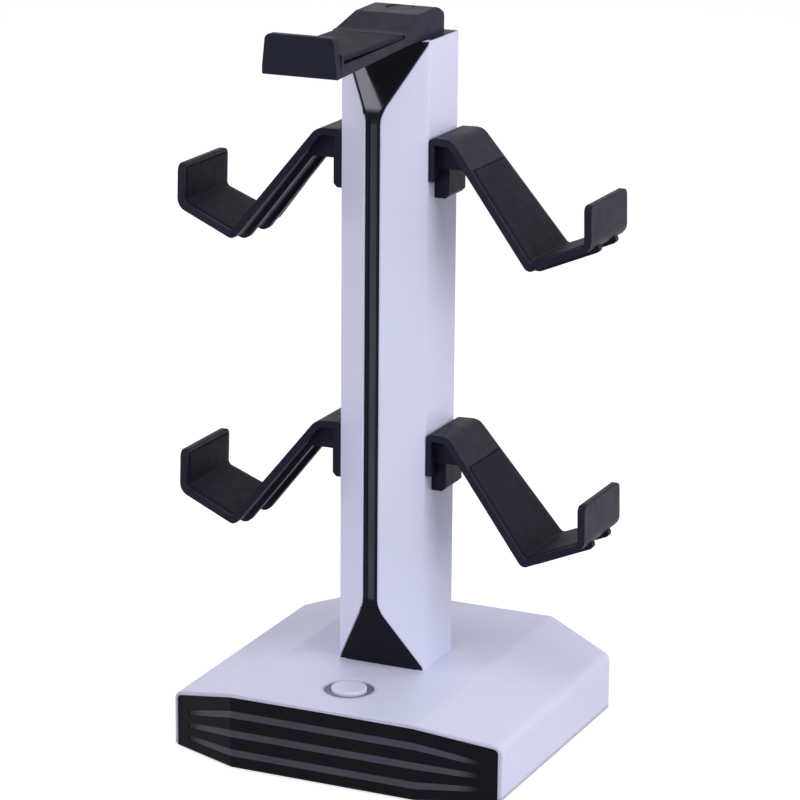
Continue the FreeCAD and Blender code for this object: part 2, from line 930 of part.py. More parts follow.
def make_column_insert():
    panel = insert_form(0).fuse([insert_flares(), insert_keel()])
    panel = panel.cut(insert_form(insert_wall)).removeSplitter()
    low = strip_low - seat_gap
    high = strip_high + seat_gap
    half = strip_flange_width / 2 + seat_gap
    panel = panel.cut(block(Vector(-half, y_insert_floor + insert_wall, low), Vector(half, y_shoulder, high)))
    half = strip_width / 2 + seat_gap
    panel = panel.cut(block(Vector(-half, y_ridge, low), Vector(half, y_shoulder, high)))
    return above_roof(panel, 0)


def make_light_strip():
    back = y_insert_floor + insert_wall
    half = strip_width / 2
    front = block(Vector(-half, y_insert_floor + strip_recess, strip_low), Vector(half, back, strip_high))
    half = strip_flange_width / 2
    flange = block(Vector(-half, back, strip_low), Vector(half, back + strip_flange, strip_high))
    return front.fuse(flange).removeSplitter()


def make_column_led_board():
    near = y_insert_floor + insert_wall + strip_flange
    half = strip_flange_width / 2
    return block(Vector(-half, near, strip_low), Vector(half, near + column_board_thickness, strip_high))


def make_column_screws():
    screws = []
    for x, y in column_screw_places():
        low = roof_point(x, y) - roof_normal * base_wall
        screws.append(placed(screw(column_screw_length - thread_end_gap), low, roof_normal))
    return Part.makeCompound(screws)


# Controller hooks: a bent strap on two ribs, built on the right and mirrored to the left

hook_upper_top = column_top - hook_top_margin
hook_rows = (hook_upper_top, hook_upper_top - hook_row_spacing)
hook_path = [
    Vector(0, 0, 0),
    Vector(hook_bend_reach, 0, 0),
    Vector(hook_corner_reach, -hook_corner_drop, 0),
    Vector(hook_lip_reach, -hook_lip_drop, 0),
    Vector(hook_lip_reach - hook_lip_lean, hook_lip_height - hook_lip_drop, 0),
]


def strap_outline():
    """Side view of the strap, from its flange on the column to its lip, and the corner radii."""
    under = offset_points(hook_path, -hook_thickness, False)
    points = hook_path[1:] + under[:0:-1] + [
        Vector(hook_flange_thickness, -hook_thickness, 0),
        Vector(hook_flange_thickness, -hook_flange_height, 0),
        Vector(0, -hook_flange_height, 0),
        Vector(0, 0, 0),
    ]
    bend = hook_bend_radius
    corner = hook_corner_radius
    foot = hook_foot_radius
    edge = hook_edge_radius
    radii = [
        bend,
        corner,
        foot,
        edge,
        edge,
        foot + hook_thickness,
        hook_outer_corner_radius,
        bend - hook_thickness,
        0,
        0,
        0,
        foot,
    ]
    return points, radii


hook_reach = hook_lip_reach + hook_thickness


def hook_plan(border):
    """Plan of the hook: narrow at the column, widest at its corner."""
    widths = ((0, hook_root_width), (hook_corner_reach, hook_corner_width), (hook_reach, hook_lip_width))
    front = [Vector(reach, border - width / 2, 0) for reach, width in widths]
    back = [Vector(point.x, -point.y, 0) for point in front[::-1]]
    return plan_prism(front + back, None, -2 * hook_corner_drop, hook_corner_drop)


def rib_outline():
    """Side view of a rib: along the underside of neck, arm and shelf."""
    middle = offset_points(hook_path, -hook_thickness / 2, False)
    lower = offset_points(hook_path, -hook_thickness - hook_rib_height, False)
    arm_share = (hook_neck_depth + lower[1].y) / (lower[1].y - lower[2].y)
    neck = lower[1] + (lower[2] - lower[1]) * arm_share
    inner = hook_flange_thickness / 2
    points = [
        Vector(inner, -hook_thickness / 2, 0),
        middle[1],
        middle[2],
        middle[3],
        lower[3],
        lower[2],
        neck,
        Vector(inner, -hook_neck_depth, 0),
    ]
    return points, [0, 0, 0, 0, hook_rib_end_radius, hook_rib_corner_radius, hook_neck_radius, 0]


def tab_outline():
    """Side view of the mounting tab below the neck."""
    points = [
        Vector(0, -hook_thickness, 0),
        Vector(0, -hook_tab_depth, 0),
        Vector(hook_tab_thickness - hook_tab_chamfer, -hook_tab_depth, 0),
        Vector(hook_tab_thickness, hook_tab_chamfer - hook_tab_depth, 0),
        Vector(hook_tab_thickness, -hook_thickness, 0),
    ]
    return points


def hook_pad_form(gap, rise):
    """Pad let into the strap, from below the bend to the lip; a gap makes it the recess."""
    arm = (hook_path[2] - hook_path[1]).normalize()
    lip = (hook_path[4] - hook_path[3]).normalize()
    path = [
        hook_path[1] + arm * (pad_start - gap),
        hook_path[2],
        hook_path[3],
        hook_path[4] - lip * (pad_end_margin - gap),
    ]
    points = offset_points(path, rise, False) + offset_points(path, -pad_recess, False)[::-1]
    corner = hook_corner_radius
    foot = hook_foot_radius
    radii = [0, corner - rise, foot - rise, 0, 0, foot + pad_recess, corner + pad_recess, 0]
    half = hook_corner_width
    pad = front_prism(points, radii, -half, half)
    return pad.common(hook_plan(pad_border - gap))


def lip_corner_waste(side):
    """What rounding takes off one upper corner of the lip, along the hook's slanting side."""
    radius = hook_lip_corner_radius
    depth = 2 * hook_thickness
    square = block(Vector(-depth, -radius, -radius), Vector(depth, cut_margin, cut_margin))
    waste = square.cut(rod(2 * radius, Vector(-depth, -radius, -radius), Vector(1, 0, 0), 2 * depth))
    taper = math.atan2((hook_lip_width - hook_corner_width) / 2, hook_reach - hook_corner_reach)
    waste.rotate(Vector(0, 0, 0), Vector(0, 0, 1), math.degrees(taper))
    waste.translate(Vector(hook_reach, hook_lip_width / 2, hook_lip_height - hook_lip_drop))
    if side < 0:
        waste = waste.mirror(Vector(0, 0, 0), Vector(0, 1, 0))
    return waste


def hook_screw_places():
    """Height and depth of each screw of one hook, from the hook's own top and middle."""
    return [(-hook_screw_spacing / 2, -hook_screw_drop), (hook_screw_spacing / 2, -hook_screw_drop)]


def make_hook():
    """Right-hand hook at the origin: column side on X 0, top on Z 0, middle on Y 0."""
    points, radii = strap_outline()
    half = hook_corner_width
    strap = front_prism(points, radii, -half, half).common(hook_plan(0))
    additions = []
    points, radii = rib_outline()
    for side in (-1, 1):
        strap = strap.cut(lip_corner_waste(side))
        middle = side * hook_rib_spacing / 2
        rib_half = hook_rib_thickness / 2
        additions.append(front_prism(points, radii, middle - rib_half, middle + rib_half))
    additions.append(front_prism(tab_outline(), None, -hook_tab_width / 2, hook_tab_width / 2))
    hook = strap.fuse(additions).removeSplitter()
    hook = hook.cut(hook_pad_form(pad_gap, pad_rise + cut_margin))
    for y, z in hook_screw_places():
        low = Vector(-cut_margin, y, z)
        hook = hook.cut(screw_hole(low, Vector(1, 0, 0), hook_screw_length - column_wall + cut_margin))
    return hook


def hook_offset(row_top):
    return Vector(column_half, y_hook, row_top)


def hook_screw_holes():
    """Holes for the hooks' screws through both sides of the column."""
    holes = []
    for row_top in hook_rows:
        for y, z in hook_screw_places():
            low = Vector(column_half - 2 * column_wall, y_hook + y, row_top + z)
            hole = screw_hole(low, Vector(1, 0, 0), 3 * column_wall)
            holes.append(hole)
            holes.append(mirrored(hole))
    return holes


def make_hook_screws():
    screws = []
    for row_top in hook_rows:
        for y, z in hook_screw_places():
            seat = Vector(column_half - column_wall, y_hook + y, row_top + z)
            one = placed(screw(hook_screw_length - screw_gap), seat, Vector(1, 0, 0))
            screws.append(one)
            screws.append(mirrored(one))
    return Part.makeCompound(screws)


# Headset cradle: an arm that reaches forward from the column's top

cradle_half = cradle_width / 2
y_cradle_back = y_column_back - cradle_back_setback
y_head_front = y_cradle_back - cradle_head_length
y_ramp_front = y_head_front - cradle_ramp_length
y_lip_back = y_lip + cradle_lip_thickness
lip_bottom = column_top - cradle_lip_drop
lip_top = lip_bottom + cradle_lip_height
saddle_floor = column_top + cradle_floor_height
head_top = column_top + cradle_head_height
head_slope = (cradle_head_height - cradle_ramp_height) / cradle_head_length
head_normal = Vector(0, -head_slope, 1).normalize()
disc_height = head_top - head_slope * cradle_head_length / 2 - cradle_disc_depth


def cradle_screw_places():
    middle = y_cradle_back - cradle_head_length / 2
    return [middle - cradle_screw_spacing / 2, middle + cradle_screw_spacing / 2]


def saddle_form(side_reach, gap, top):
    """Saddle pad between the lip and the ramp; a gap makes it the recess."""
    near = y_lip_back + saddle_border - gap
    far = y_ramp_front - saddle_border + gap
    return block(Vector(-side_reach, near, saddle_floor - saddle_recess), Vector(side_reach, far, top))


def cradle_view(wide_top, top_half, top, corner, near, far):
    """Front view of the cradle between two depths: upright to a height, then leaning in to a rounded top."""
    points = [
        Vector(-cradle_half, lip_bottom, 0),
        Vector(cradle_half, lip_bottom, 0),
        Vector(cradle_half, wide_top, 0),
        Vector(top_half, top, 0),
        Vector(-top_half, top, 0),
        Vector(-cradle_half, wide_top, 0),
    ]
    return front_prism(points, [0, 0, 0, corner, corner, 0], near, far)


def cradle_profile():
    """Side view of the cradle, from the back of its head round to its underside, and the corner radii."""
    points = [
        Vector(y_cradle_back, column_top, 0),
        Vector(y_cradle_back, head_top, 0),
        Vector(y_head_front, column_top + cradle_ramp_height, 0),
        Vector(y_ramp_front, saddle_floor, 0),
        Vector(y_lip_back, saddle_floor, 0),
        Vector(y_lip_back, lip_top, 0),
        Vector(y_lip, lip_top, 0),
        Vector(y_lip, lip_bottom, 0),
        Vector(y_ridge, column_top, 0),
    ]
    edge = cradle_edge_radius
    lip_radii = [cradle_saddle_radius, edge, edge, edge]
    return points, [0, cradle_head_radius, cradle_head_edge_radius, cradle_ramp_radius] + lip_radii + [0]


def make_cradle():
    points, radii = cradle_profile()
    arm = side_prism(points, radii, -cradle_half, cradle_half)
    plan = [
        Vector(-cradle_half, y_lip, 0),
        Vector(cradle_half, y_lip, 0),
        Vector(cradle_half, y_cradle_back, 0),
        Vector(-cradle_half, y_cradle_back, 0),
    ]
    corner = cradle_corner_radius
    arm = arm.common(plan_prism(plan, [0, 0, corner, corner], lip_bottom, lip_top))
    lip_half = cradle_half - cradle_lip_taper
    head_half = cradle_half - cradle_head_inset
    lip_corner = cradle_lip_corner_radius
    lip = cradle_view(lip_bottom + cradle_lip_drop, lip_half, lip_top, lip_corner, y_lip, y_lip_back)
    saddle = block(Vector(-cradle_half, y_lip_back, lip_bottom), Vector(cradle_half, y_ramp_front, lip_top))
    head_corner = cradle_head_edge_radius
    head = cradle_view(saddle_floor, head_half, head_top, head_corner, y_ramp_front, y_cradle_back)
    pieces = [arm.common(saddle), arm.common(head), cap_form(0, column_top)]
    body = arm.common(lip).fuse(pieces).removeSplitter()
    body = body.cut(saddle_form(cradle_half, saddle_gap, lip_top))
    slit_top = saddle_floor - saddle_recess
    slit_near = y_lip_back + saddle_border
    slit_points = [
        Vector(slit_near, slit_top - cradle_slit_height, 0),
        Vector(slit_near + cradle_slit_length, slit_top, 0),
        Vector(slit_near, slit_top, 0),
    ]
    for side in (-1, 1):
        inner = side * (cradle_half - cradle_slit_depth)
        body = body.cut(side_prism(slit_points, None, inner, side * (cradle_half + cut_margin)))
    disc = Vector(0, y_cradle_back - cradle_head_length / 2, disc_height)
    body = body.cut(rod(cradle_disc_diameter, disc, head_normal, cradle_head_height))
    for y in cradle_screw_places():
        depth = cradle_lip_drop + cradle_screw_length - column_top_wall
        body = body.cut(screw_hole(Vector(0, y, lip_bottom), Vector(0, 0, 1), depth))
    return body.removeSplitter()


def make_cradle_screws():
    screws = []
    for y in cradle_screw_places():
        seat = Vector(0, y, column_top - column_top_wall)
        screws.append(placed(screw(cradle_screw_length - screw_gap), seat, Vector(0, 0, 1)))
    return Part.makeCompound(screws)


# All pieces by name

pieces = {
    "base_housing": make_base_housing(),
    "base_bottom_cover": make_bottom_cover(),
    "base_front_panel": make_front_panel(),
    "base_light_guide": make_light_guide(),
    "base_led_board": make_base_led_board(),
    "base_feet": make_feet(),
    "base_screws": make_cover_screws(),
    "power_button": make_power_button(),
    "button_light_ring": make_light_ring(),
    "button_switch": make_switch(),
    "control_board": make_control_board(),
    "board_screws": make_board_screws(),
    "usb_board": make_socket_board(),
    "usb_socket": make_usb_socket(),
    "column_shell": make_column_shell(),
    "column_back_cover": make_back_cover(),
    "column_front_panel": make_column_insert(),
    "column_light_strip": make_light_strip(),
    "column_led_board": make_column_led_board(),
    "column_screws": make_column_screws(),
    "headset_cradle": make_cradle(),
    "cradle_pad": saddle_form(cradle_half - saddle_side_border, 0, saddle_floor + saddle_rise),
    "cradle_screws": make_cradle_screws(),
    "hook_screws": make_hook_screws(),
}
right_hook = make_hook()
right_pad = hook_pad_form(0, pad_rise)
for row_name, row_top in zip(("upper", "lower"), hook_rows):
    hook = right_hook.translated(hook_offset(row_top))
    pad = right_pad.translated(hook_offset(row_top))
    pieces["hook_" + row_name + "_right"] = hook
    pieces["hook_" + row_name + "_left"] = mirrored(hook)
    pieces["hook_pad_" + row_name + "_right"] = pad
    pieces["hook_pad_" + row_name + "_left"] = mirrored(pad)

os.makedirs("parts", exist_ok=True)
for name, shape in pieces.items():
    shape.exportStep("parts/" + name + ".step")
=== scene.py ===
import json
import math

import bmesh
import bpy
from mathutils import Matrix, Vector


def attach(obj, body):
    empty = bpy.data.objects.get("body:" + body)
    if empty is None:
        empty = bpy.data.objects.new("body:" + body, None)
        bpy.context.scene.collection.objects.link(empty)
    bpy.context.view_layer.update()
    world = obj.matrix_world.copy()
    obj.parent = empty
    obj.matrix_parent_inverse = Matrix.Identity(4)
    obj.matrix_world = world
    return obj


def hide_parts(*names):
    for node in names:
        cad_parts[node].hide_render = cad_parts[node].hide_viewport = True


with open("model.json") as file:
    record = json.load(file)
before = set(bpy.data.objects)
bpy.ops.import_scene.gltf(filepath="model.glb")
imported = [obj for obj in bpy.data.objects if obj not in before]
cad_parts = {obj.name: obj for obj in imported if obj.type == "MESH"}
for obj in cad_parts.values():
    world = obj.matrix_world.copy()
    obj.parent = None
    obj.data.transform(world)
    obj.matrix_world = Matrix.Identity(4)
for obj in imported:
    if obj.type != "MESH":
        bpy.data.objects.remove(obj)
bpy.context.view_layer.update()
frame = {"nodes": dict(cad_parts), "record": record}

# Stand for game controllers and a headset. Metres, Z up, front towards -Y.

MM = 0.001
scene = bpy.context.scene
scene.view_settings.view_transform = "Standard"

# Colours, linear

WHITE = (0.645, 0.655, 0.835)
# Button ring: dark grey instead of white, as painted shade of the groove around the button
RING_PAINTED_SHADE = (0.165, 0.17, 0.24)
BLACK = (0.0095, 0.0095, 0.021)
PANEL = (0.0055, 0.0056, 0.009)
INSERT = (0.0115, 0.0116, 0.0195)
MIRROR = (0.2, 0.201, 0.235)
PAD = (0.0095, 0.0095, 0.0175)
BAR = (0.056, 0.059, 0.08)
STRIP = (0.04872, 0.05133, 0.0696)
STEEL = (0.55, 0.55, 0.57)
BOARD = (0.02, 0.11, 0.05)
NEUTRAL = (1.0, 1.0, 1.0)
COOL = (0.68, 0.68, 1.0)
FLOOR_DARK = (0.5, 0.5, 0.51)
FLOOR_PALE = (0.52, 0.52, 0.53)
SKY = (0.93, 0.95, 1.0)

# Brightness of the surroundings

SKY_STRENGTH = 0.46
BACKDROP_STRENGTH = 1.0
FLOOR_GLOW = 0.74

# Surface detail: sizes of soft patches and of uneven gloss in mm, and how much gloss and grain vary

PATCH_SIZE = 35.0
MIRROR_PATCH_SIZE = 20.0
GLOSS_SIZE = 6.0
GLOSS_SPREAD = 0.05
GRAIN_STRENGTH = 0.6

# Light bars and strip: where their lit stretch ends, mm from its middle

BAR_FADE = (57.0, 66.0)
STRIP_FADE = (100.1, 100.7)
STRIP_MIDDLE = 166.4

# Column insert: the polished flare's lower and upper end and its half widths there, mm

FLARE_HEIGHTS = (271.5, 300.0)
FLARE_HALVES = (2.6, 18.6)

# Pads, mm: places across the hook are counted from the column's side, heights from the hook's top

COLUMN_HALF = 19.47
HOOK_ROWS = {"upper": 261.0, "lower": 137.2}
HOOK_SIDES = {"right": 1, "left": -1}
HOOK_MIDDLE = 8.9
HOOK_LINE = ((19.98, -11.76), (47.2, -45.9), (69.9, -36.3), (69.55, -21.93))
HOOK_LINE_RADII = (0, 2.0, 2.5, 0)
HOOK_BEND = 47.2
HOOK_REACH = 72.9
HOOK_ROOT_WIDTH = 29.2
HOOK_BEND_WIDTH = 42.4
HOOK_LIP_WIDTH = 39.4
HOOK_PAD_BORDER = 2.03
HOOK_PAD_LEVELS = (-0.66, 0.42)
SADDLE_LINE = ((-77.65, 304.6), (-21.65, 304.6))
SADDLE_HALF = 15.55
SADDLE_LEVELS = (-1.36, 0.22)
PAD_CROWN = 0.14
PAD_ROW_SPACING = 1.5
RIM_DEPTH = 1.2


# Materials

class Tree:
    """Small helper to add and join the shader nodes of a material or the world."""

    def __init__(self, owner, output):
        owner.use_nodes = True
        self.nodes = owner.node_tree.nodes
        self.links = owner.node_tree.links
        self.nodes.clear()
        self.surface = self.nodes.new(output).inputs["Surface"]

    def add(self, kind, values=None, **settings):
        node = self.nodes.new(kind)
        for name, value in settings.items():
            setattr(node, name, value)
        for name, value in (values or {}).items():
            if isinstance(value, bpy.types.NodeSocket):
                self.links.new(value, node.inputs[name])
            else:
                node.inputs[name].default_value = value
        return node

    def math(self, operation, *values):
        return self.add("ShaderNodeMath", dict(enumerate(values)), operation=operation).outputs[0]

    def place(self):
        """Position on the object in metres."""
        return self.add("ShaderNodeTexCoord").outputs["Object"]

    def along(self, axis):
        return self.add("ShaderNodeSeparateXYZ", {"Vector": self.place()}).outputs[axis]

    def noise(self, size, detail=2.0, stretch=(1, 1, 1)):
        """Noise with features of a given size in metres."""
        place = self.add("ShaderNodeMapping", {"Vector": self.place(), "Scale": stretch}).outputs["Vector"]
        node = self.add("ShaderNodeTexNoise", {"Vector": place, "Scale": 1 / size, "Detail": detail})
        return node.outputs["Fac"]

    def spread(self, value, start, end, low=0.0, high=1.0, **settings):
        """Value taken from one range to another."""
        values = {"Value": value, "From Min": start, "From Max": end, "To Min": low, "To Max": high}
        return self.add("ShaderNodeMapRange", values, **settings).outputs["Result"]

    def ramp(self, noise, low=0.0, high=1.0):
        """Noise spread over a range."""
        return self.spread(noise, 0.3, 0.7, low, high)

    def mix(self, share, first, second, kind="RGBA"):
        """Colour or value between two, each an output or a fixed colour."""
        node = self.add("ShaderNodeMix", {"Factor": share}, data_type=kind)
        wanted = "RGBA" if kind == "RGBA" else "VALUE"
        ends = [s for s in node.inputs if s.type == wanted and s.name in ("A", "B")]
        for socket, end in zip(ends, (first, second)):
            if isinstance(end, bpy.types.NodeSocket):
                self.links.new(end, socket)
            else:
                socket.default_value = (*end, 1)
        return [s for s in node.outputs if s.type == wanted][0]

    def clouded(self, colour, amount, size=PATCH_SIZE, detail=3.0):
        """Colour that varies a little in soft patches of a given size in mm."""
        patches = self.ramp(self.noise(size * MM, detail))
        return self.mix(patches, shade(colour, 1 - amount), shade(colour, 1 + amount))

    def faded(self, colour, other, near, far, axis="X", middle=0.0):
        """Colour that turns into another one between two distances from a plane across an axis, in mm."""
        away = self.math("ABSOLUTE", self.math("SUBTRACT", self.along(axis), middle * MM))
        share = self.spread(away, near * MM, far * MM, interpolation_type="SMOOTHSTEP")
        return self.mix(share, colour, other)

    def softened(self, radius):
        """Normal that rounds sharp edges, with a radius in mm."""
        return self.add("ShaderNodeBevel", {"Radius": radius * MM}, samples=4).outputs["Normal"]

    def finish(self, values):
        shader = self.add("ShaderNodeBsdfPrincipled", values)
        self.links.new(shader.outputs["BSDF"], self.surface)


def material_tree(name):
    material = bpy.data.materials.new(name)
    return material, Tree(material, "ShaderNodeOutputMaterial")


def shade(colour, factor):
    return tuple(min(1.0, c * factor) for c in colour)


def moulded(name, colour, rough, grain, depth, mottle=0.03, edge=0.5, specular=0.4, gleam=NEUTRAL,
            metallic=0.0, stretch=(1, 1, 1), fade=None):
    """Moulded surface: faint mottling, uneven gloss, fine grain and softened edges. Lengths in mm."""
    material, tree = material_tree(name)
    base = tree.clouded(colour, mottle)
    if fade:
        base = tree.faded(base, *fade)
    bump = {
        "Height": tree.noise(grain * MM, 3.0, stretch),
        "Strength": GRAIN_STRENGTH,
        "Distance": depth * MM,
        "Normal": tree.softened(edge),
    }
    gloss = tree.noise(GLOSS_SIZE * MM, 4.0, stretch)
    tree.finish({
        "Base Color": base,
        "Roughness": tree.ramp(gloss, rough - GLOSS_SPREAD, rough + GLOSS_SPREAD),
        "Normal": tree.add("ShaderNodeBump", bump).outputs["Normal"],
        "Specular IOR Level": specular,
        "Specular Tint": (*gleam, 1),
        "Metallic": metallic,
    })
    return material


def half_polished(name, colour, mirror, heights, halves):
    """Dark insert: satin, but its flaring upper end is polished like a mirror inside a narrow satin rim."""
    material, tree = material_tree(name)
    low, high = (height * MM for height in heights)
    low_half, high_half = (half * MM for half in halves)
    height = tree.along("Z")
    above = tree.spread(height, low, low + 2.0 * MM)
    limit = tree.spread(height, low, high, low_half, high_half)
    inside = tree.math("LESS_THAN", tree.math("ABSOLUTE", tree.along("X")), limit)
    polished = tree.math("MULTIPLY", above, inside)
    gloss = tree.noise(GLOSS_SIZE * MM, 4.0)
    satin = tree.ramp(gloss, 0.37, 0.47)
    clear = tree.ramp(gloss, 0.05, 0.09)
    dark = tree.clouded(colour, 0.06)
    bright = tree.clouded(mirror, 0.04, MIRROR_PATCH_SIZE, 2.0)
    tree.finish({
        "Base Color": tree.mix(polished, dark, bright),
        "Roughness": tree.mix(polished, satin, clear, "FLOAT"),
        "Metallic": polished,
        "Normal": tree.softened(0.3),
        "Specular IOR Level": 0.05,
    })
    return material


materials = {
    "white_plastic": moulded("white_plastic", WHITE, rough=0.42, grain=0.5, depth=0.012, mottle=0.012, edge=0.6),
    "black_plastic": moulded("black_plastic", BLACK, rough=0.48, grain=0.45, depth=0.03, mottle=0.06,
                             specular=0.13, gleam=COOL),
    "black_panel": moulded("black_panel", PANEL, rough=0.42, grain=0.4, depth=0.012, mottle=0.06, specular=0.05),
    "black_gloss": half_polished("black_gloss", INSERT, MIRROR, FLARE_HEIGHTS, FLARE_HALVES),
    "soft_pad": moulded("soft_pad", PAD, rough=0.62, grain=0.35, depth=0.05, mottle=0.1, edge=0.2,
                        specular=0.094, gleam=COOL),
    "light_bar": moulded("light_bar", BAR, rough=0.4, grain=0.8, depth=0.02, mottle=0.12, edge=0.2,
                         specular=0.1, stretch=(0.15, 1, 1), fade=(PANEL, *BAR_FADE)),
    "button_white": moulded("button_white", WHITE, rough=0.34, grain=0.5, depth=0.008, mottle=0.012, edge=0.3),
    # The white ring around the button is coloured dark grey: painted shade of the groove it sits in
    "ring_white": moulded("ring_white", RING_PAINTED_SHADE, rough=0.5, grain=0.4, depth=0.01, edge=0.2),
    "switch_black": moulded("switch_black", BLACK, rough=0.5, grain=0.4, depth=0.02),
    "circuit_board": moulded("circuit_board", BOARD, rough=0.4, grain=1.2, depth=0.02, mottle=0.2),
    "steel": moulded("steel", STEEL, rough=0.3, grain=0.4, depth=0.01, metallic=1.0, stretch=(1, 1, 0.1)),
    "socket_steel": moulded("socket_steel", STEEL, rough=0.26, grain=0.4, depth=0.006, edge=0.15, metallic=1.0,
                            stretch=(1, 0.1, 1)),
    "foot_rubber": moulded("foot_rubber", PAD, rough=0.75, grain=0.5, depth=0.05, mottle=0.1, specular=0.2),
}
for part in frame["record"]["subparts"]:
    mesh = frame["nodes"][part["node"]].data
    mesh.materials.clear()
    mesh.materials.append(materials[part["material_slot"]])

light_strip = moulded("light_strip", STRIP, rough=0.4, grain=0.8, depth=0.02, mottle=0.12, edge=0.2,
                      specular=0.1, stretch=(1, 1, 0.15), fade=(INSERT, *STRIP_FADE, "Z", STRIP_MIDDLE))
frame["nodes"]["column_light_strip"].data.materials[0] = light_strip


# Base shell: the housing's left half and its mirror image, with softer edges

def make_base_shell():
    data = frame["nodes"]["base_housing"].data.copy()
    data.name = "base_shell"
    mesh = bmesh.new()
    mesh.from_mesh(data)
    slivers = [face for face in mesh.faces if face.calc_area() < 1e-5 * MM ** 2]
    bmesh.ops.delete(mesh, geom=slivers, context="FACES_ONLY")
    mesh.to_mesh(data)
    mesh.free()
    data.materials.clear()
    data.materials.append(moulded("white_base", WHITE, rough=0.42, grain=0.5, depth=0.012, mottle=0.012, edge=3.0))
    shell = bpy.data.objects.new("base_shell", data)
    scene.collection.objects.link(shell)
    even = shell.modifiers.new("even_sides", "MIRROR")
    even.use_axis = (True, False, False)
    even.use_bisect_axis = (True, False, False)
    even.use_bisect_flip_axis = (True, False, False)
    even.merge_threshold = 0.01 * MM
    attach(shell, "stand")
    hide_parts("base_housing")


make_base_shell()


# Soft pads

def rounded_path(points, radii, steps=8):
    """Points along a line with round corners, each with the direction of travel there."""
    points = [Vector(point) for point in points]
    path = [(points[0], (points[1] - points[0]).normalized())]
    for index in range(1, len(points) - 1):
        here = points[index]
        before = (here - points[index - 1]).normalized()
        after = (points[index + 1] - here).normalized()
        turn = before.angle_signed(after)
        run = radii[index] * math.tan(abs(turn) / 2)
        side = Vector((-before.y, before.x)) * (1 if turn < 0 else -1)
        centre = here - before * run + side * radii[index]
        for step in range(steps + 1):
            rotation = Matrix.Rotation(-turn * step / steps, 2)
            path.append((centre - rotation @ side * radii[index], rotation @ before))
    path.append((points[-1], (points[-1] - points[-2]).normalized()))
    return path


def divided(path, spacing):
    """The same path with no step longer than a spacing."""
    result = [path[0]]
    for here, heading in path[1:]:
        start = result[-1][0]
        pieces = max(1, math.ceil((here - start).length / spacing))
        for step in range(1, pieces + 1):
            result.append((start.lerp(here, step / pieces), heading))
    return result


def pad_height(inset, low, high, reach):
    """Height of a pad's top at a distance from its edge: a round shoulder, then a slow crown."""
    shoulder = high - low
    if inset < shoulder:
        rise = math.sqrt(max(0.0, 1 - (1 - inset / shoulder) ** 2))
        return low + shoulder * rise
    return high + PAD_CROWN * math.sin(math.pi / 2 * min(1.0, (inset - shoulder) / reach))


def make_pad(name, path, half_width, levels, place):
    """Pad that follows a path in its own plane: rounded rim, slightly crowned face, flat underside."""
    low, high = levels
    rows = divided(path, PAD_ROW_SPACING)
    travelled = [0.0]
    for index in range(1, len(rows)):
        travelled.append(travelled[-1] + (rows[index][0] - rows[index - 1][0]).length)
    length = travelled[-1]
    fractions = [0.0, 0.004, 0.012, 0.025, 0.045, 0.08, 0.15, 0.25, 0.37, 0.5]
    fractions += [1 - f for f in fractions[-2::-1]]
    rim = [0.0, 0.12, 0.35, 0.7, 1.0]
    stations = rim + [t for t in travelled if RIM_DEPTH < t < length - RIM_DEPTH]
    stations += [length - r for r in rim[::-1]]

    def at(distance):
        for index in range(1, len(rows)):
            if distance <= travelled[index] + 1e-9:
                span = travelled[index] - travelled[index - 1]
                share = (distance - travelled[index - 1]) / span if span else 0
                heading = rows[index - 1][1].lerp(rows[index][1], share).normalized()
                return rows[index - 1][0].lerp(rows[index][0], share), heading
        return rows[-1]

    mesh = bmesh.new()
    layers = []
    for is_top in (True, False):
        grid = []
        for distance in stations:
            here, heading = at(distance)
            normal = Vector((-heading.y, heading.x))
            half = half_width(here)
            line = []
            for fraction in fractions:
                offset = half * (2 * fraction - 1)
                inset = min(half - abs(offset), distance, length - distance)
                height = pad_height(inset, low, high, half) if is_top else low
                line.append(mesh.verts.new(place(here + normal * height, offset) * MM))
            grid.append(line)
        layers.append(grid)
    top, bottom = layers
    for row in range(len(stations) - 1):
        for column in range(len(fractions) - 1):
            corners = ((row, column), (row + 1, column), (row + 1, column + 1), (row, column + 1))
            mesh.faces.new([top[r][c] for r, c in corners])
            mesh.faces.new([bottom[r][c] for r, c in corners[::-1]])
    bmesh.ops.remove_doubles(mesh, verts=mesh.verts[:], dist=0.005 * MM)
    bmesh.ops.recalc_face_normals(mesh, faces=mesh.faces[:])
    data = bpy.data.meshes.new(name)
    mesh.to_mesh(data)
    mesh.free()
    for polygon in data.polygons:
        polygon.use_smooth = True
    piece = bpy.data.objects.new(name, data)
    scene.collection.objects.link(piece)
    data.materials.append(materials["soft_pad"])
    return piece


def hand_over(piece, node):
    """The piece stands for a CAD pad on the stand."""
    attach(piece, "stand")
    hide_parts(node)


def hook_half_width(point):
    if point.x < HOOK_BEND:
        width = HOOK_ROOT_WIDTH + (HOOK_BEND_WIDTH - HOOK_ROOT_WIDTH) * point.x / HOOK_BEND
    else:
        share = (point.x - HOOK_BEND) / (HOOK_REACH - HOOK_BEND)
        width = HOOK_BEND_WIDTH + (HOOK_LIP_WIDTH - HOOK_BEND_WIDTH) * share
    return width / 2 - HOOK_PAD_BORDER


def hook_place(sign, row_top):
    """Function that puts a point of the pad's plane on one hook."""
    def place(point, offset):
        return Vector((sign * (COLUMN_HALF + point.x), HOOK_MIDDLE + offset, row_top + point.y))
    return place


def saddle_half_width(point):
    return SADDLE_HALF


def saddle_place(point, offset):
    return Vector((offset, point.x, point.y))


hook_path = rounded_path(HOOK_LINE, HOOK_LINE_RADII)
for row, row_top in HOOK_ROWS.items():
    for side, sign in HOOK_SIDES.items():
        label = "hook_pad_" + row + "_" + side
        place = hook_place(sign, row_top)
        hand_over(make_pad("soft_" + label, hook_path, hook_half_width, HOOK_PAD_LEVELS, place), label)

saddle_path = rounded_path(SADDLE_LINE, (0, 0))
saddle = make_pad("soft_cradle_pad", saddle_path, saddle_half_width, SADDLE_LEVELS, saddle_place)
hand_over(saddle, "cradle_pad")


# Floor and world

